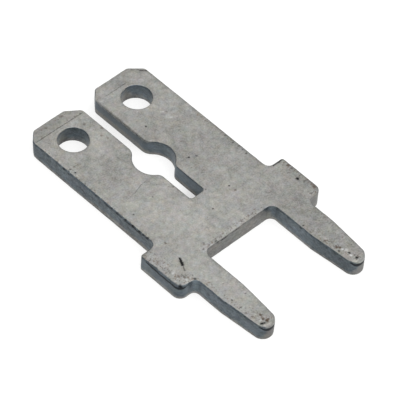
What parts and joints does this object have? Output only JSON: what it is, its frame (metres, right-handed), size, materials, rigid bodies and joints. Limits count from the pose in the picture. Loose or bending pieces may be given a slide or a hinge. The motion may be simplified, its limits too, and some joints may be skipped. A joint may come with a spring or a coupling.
{
  "type": "solder tab terminal",
  "caption": "Flat stamped terminal: slotted push-on tabs with wire holes, a shoulder that sits on a circuit board, and tapered solder pins.",
  "frame": {"origin": "middle of the footprint on the underside, with the part lying on its broad face", "axes": "+X across the tabs, +Y from the pins towards the tab tips, +Z through the thickness"},
  "size_m": [0.008, 0.014, 0.0008],
  "materials": {
    "tin_plating": "matte tin plating over stamped brass strip, mottled, with darker sheared edges"
  },
  "bodies": {
    "root": {"terminal": "tin_plating"}
  },
  "joints": []
}
